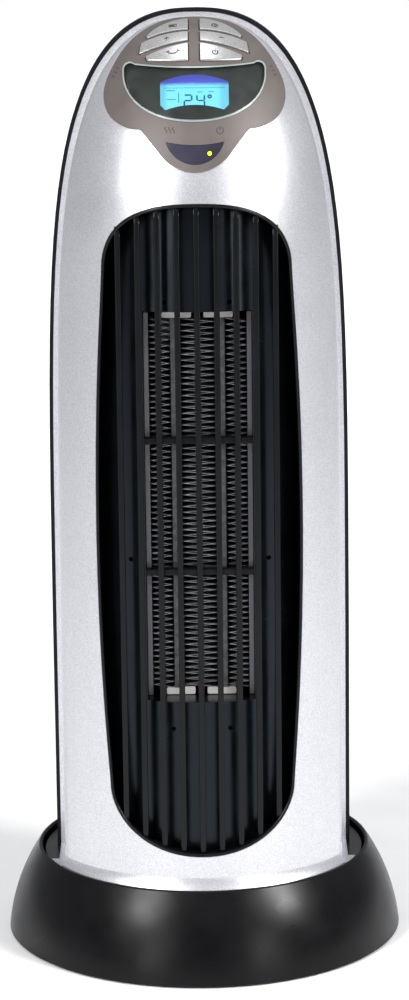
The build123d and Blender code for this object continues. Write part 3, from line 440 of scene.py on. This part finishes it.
def signs():
    """A sign on each key and the small signs of the overlay."""
    for name, strokes in SIGNS.items():
        face = Face(KEY_ORIGIN, KEY_NORMAL, name, name)
        drawn(name + "_sign", face, moved(strokes, *SIGN_PLACES[name]), SIGN_LINE, lift=KEY_LIFT)
    panel = Face(PANEL_ORIGIN, PANEL_NORMAL, "control_panel", "tower")
    drawn("panel_heat_sign", panel, moved(heat_sign(2.1), -PANEL_SIGN_X, HEAT_SIGN_Z), SIGN_LINE)
    drawn("panel_power_sign", panel, moved(power_sign(1.9), PANEL_SIGN_X, POWER_SIGN_Z), SIGN_LINE)
    for name, side in (("panel_ticks_left", -1), ("panel_ticks_right", 1)):
        ticks = []
        for k in range(3):
            x, z = TICK_X + TICK_STEP_X * k, TICK_Z + TICK_STEP_Z * k
            ticks.append([(side * x, z), (side * (x + TICK_OUT), z + TICK_UP)])
        drawn(name, panel, ticks, TICK_LINE)


# --------------------------------------------------------------------- display
SEVEN = {"a": ((0, 2), (1, 2)), "b": ((1, 2), (1, 1)), "c": ((1, 1), (1, 0)),
         "d": ((1, 0), (0, 0)), "e": ((0, 0), (0, 1)), "f": ((0, 1), (0, 2)),
         "g": ((0, 1), (1, 1))}
DIGITS = {"2": "abged", "4": "fgbc"}
SEGMENT_GAP = 0.07          # share of a segment left open at each end
LCD_ORIGIN, LCD_NORMAL = (0, -58.6 * MM, 514.9 * MM), (0, -0.8, 0.6)
DIGIT_WIDE, DIGIT_TALL, DIGIT_FOOT = 4.2, 7.2, -8.6
TENS_LEFT, UNITS_LEFT = -5.8, 1.4
DEGREE_RADIUS, DEGREE_PLACE = 0.9, (8.6, -2.4)
DOTS, DOT_LEFT, DOT_PITCH, DOT_LONG, DOT_HIGH = 22, -17, 1.6, 0.7, 3.4


def digit(which, left):
    """Strokes of a seven-segment digit with its left side at left."""
    strokes = []
    for letter in DIGITS[which]:
        (xa, ya), (xb, yb) = SEVEN[letter]
        ends = [(xa + (xb - xa) * t, ya + (yb - ya) * t) for t in (SEGMENT_GAP, 1 - SEGMENT_GAP)]
        strokes.append([(left + x * DIGIT_WIDE, DIGIT_FOOT + y * DIGIT_TALL / 2) for x, y in ends])
    return strokes


def display():
    """Figures and small marks on the lit panel."""
    face = Face(LCD_ORIGIN, LCD_NORMAL, "lcd_screen", "tower")
    figures = digit("2", TENS_LEFT) + digit("4", UNITS_LEFT)
    figures.append(arc(DEGREE_RADIUS, 0, 360, DEGREE_PLACE))
    marks = [[(-15.5, -4.2), (-10.5, -4.2)], [(-9.0, -6.4), (-9.0, 0.4)], [(-16, 1.6), (-11, 1.6)],
             [(1.5, 0.6), (4.5, 0.6)], [(8.0, 0.8), (11.0, 0.8)]]
    lefts = [DOT_LEFT + DOT_PITCH * k for k in range(DOTS)]
    dots = [[(left, DOT_HIGH), (left + DOT_LONG, DOT_HIGH)] for left in lefts]
    for name, strokes, line in (("lcd_digits", figures, 0.95 * MM), ("lcd_marks", marks, 0.4 * MM),
                                ("lcd_dots", dots, 0.5 * MM)):
        drawn(name, face, strokes, line, SEGMENT)


# ------------------------------------------------------------------ softened edges
EDGE_WIDTH, WELD_GAP = 0.4 * MM, 0.002 * MM
KEY_VOXEL, KEY_ROUNDS = 0.22 * MM, 26


def soften(names, width, segments=3, angle=38):
    """Round off a CAD node's sharp edges."""
    for name in names:
        weld = NODES[name].modifiers.new("weld", "WELD")
        weld.merge_threshold = WELD_GAP
        bevel = NODES[name].modifiers.new("bevel", "BEVEL")
        bevel.width, bevel.segments = width, segments
        bevel.limit_method, bevel.angle_limit = "ANGLE", math.radians(angle)
        bevel.harden_normals = True


def pillow(names, voxel, rounds):
    """Round a CAD node all over: a fine even mesh, then smoothed."""
    for name in names:
        remesh = NODES[name].modifiers.new("remesh", "REMESH")
        remesh.mode, remesh.voxel_size, remesh.use_smooth_shade = "VOXEL", voxel, True
        smooth = NODES[name].modifiers.new("smooth", "SMOOTH")
        smooth.factor, smooth.iterations = 0.5, rounds


# --------------------------------------------------------------- stage and light
FLOOR_REACH = 60.0
HORIZON, OVERHEAD = 0.3, 0.5                       # strength of the sky light
SUN_ANGLE = 24                                     # degrees
CAMERA_PLACE = (0.003, -1.916, 0.6847)
LOOK_DOWN, ROLL = 12.34, -0.67                     # degrees
LENS_LENGTH, SENSOR = 117.4, 36.0                  # millimetres
HEATER_MIDDLE = (0, 0, 0.3)


def light(name, kind, energy, place, target=HEATER_MIDDLE, **settings):
    """A lamp at place, turned to target, that the camera doesn't see."""
    lamp = bpy.data.lights.new(name, kind)
    lamp.energy = energy
    for key, value in settings.items():
        setattr(lamp, key, value)
    obj = bpy.data.objects.new(name, lamp)
    obj.location = place
    obj.rotation_euler = (Vector(target) - Vector(place)).to_track_quat("-Z", "Y").to_euler()
    obj.visible_camera = False
    bpy.context.collection.objects.link(obj)


def softbox(name, energy, place, wide, high, spread, target=HEATER_MIDDLE):
    """A rectangular light; spread is the angle of its beam in degrees."""
    light(name, "AREA", energy, place, target, shape="RECTANGLE", size=wide, size_y=high,
          spread=math.radians(spread))


def studio():
    """Pale floor, soft light, and a camera a little above the heater."""
    mesh = bpy.data.meshes.new("floor")
    corners = ((-1, -1), (1, -1), (1, 1), (-1, 1))
    mesh.from_pydata([(x * FLOOR_REACH, y * FLOOR_REACH, 0) for x, y in corners], [],
                     [(0, 1, 2, 3)])
    mesh.materials.append(moulded("floor_white", (222, 222, 223), (227, 227, 228), 0.8,
                                  grain=0.0, drift=25, Specular_IOR_Level=0.1))
    floor = bpy.data.objects.new("floor", mesh)
    bpy.context.collection.objects.link(floor)

    world = bpy.data.worlds.new("studio")
    bpy.context.scene.world = world
    world.use_nodes = True
    tree = world.node_tree
    way = tree.nodes.new("ShaderNodeTexCoord")
    split = tree.nodes.new("ShaderNodeSeparateXYZ")
    tree.links.new(way.outputs["Generated"], split.inputs[0])
    span = tree.nodes.new("ShaderNodeMapRange")
    tree.links.new(split.outputs["Z"], span.inputs["Value"])
    for key, value in (("From Min", 0.0), ("From Max", 0.9), ("To Min", HORIZON),
                       ("To Max", OVERHEAD)):
        span.inputs[key].default_value = value
    tree.links.new(span.outputs[0], tree.nodes["Background"].inputs["Strength"])
    tree.nodes["Background"].inputs["Color"].default_value = (0.95, 0.97, 1.0, 1.0)

    light("top_sun", "SUN", 0.5, (0, 0.3, 3), angle=math.radians(SUN_ANGLE))
    softbox("left_soft", 14, (-1.2, -1.35, 1.45), 0.45, 0.9, 110)
    softbox("right_soft", 17, (1.5, -0.95, 1.45), 0.45, 0.9, 110)
    softbox("left_low", 2, (-1.0, -1.75, 0.42), 0.5, 0.8, 120, (0, 0, 0.35))
    softbox("right_low", 2, (1.15, -1.65, 0.42), 0.5, 0.8, 120, (0, 0, 0.35))
    # aimed a hair off straight down, which sets its long side along the floor behind
    softbox("backdrop", 60, (0, 5.6, 2.2), 1.4, 9.4, 60, (0, 5.601, 0))

    lens = bpy.data.cameras.new("camera")
    lens.lens, lens.sensor_width, lens.sensor_fit = LENS_LENGTH, SENSOR, "AUTO"
    camera = bpy.data.objects.new("camera", lens)
    camera.location = CAMERA_PLACE
    camera.rotation_mode = "QUATERNION"
    tilt = Quaternion((1, 0, 0), math.radians(90 - LOOK_DOWN))
    camera.rotation_quaternion = tilt @ Quaternion((0, 0, 1), math.radians(ROLL))
    bpy.context.collection.objects.link(camera)
    bpy.context.scene.camera = camera
    bpy.context.scene.view_settings.view_transform = "Standard"


grille()
pillow(list(SIGNS), KEY_VOXEL, KEY_ROUNDS)
signs()
display()
soften(["rocker", "main_switch_housing", "cord_gland"], EDGE_WIDTH)
studio()

bpy.context.view_layer.update()
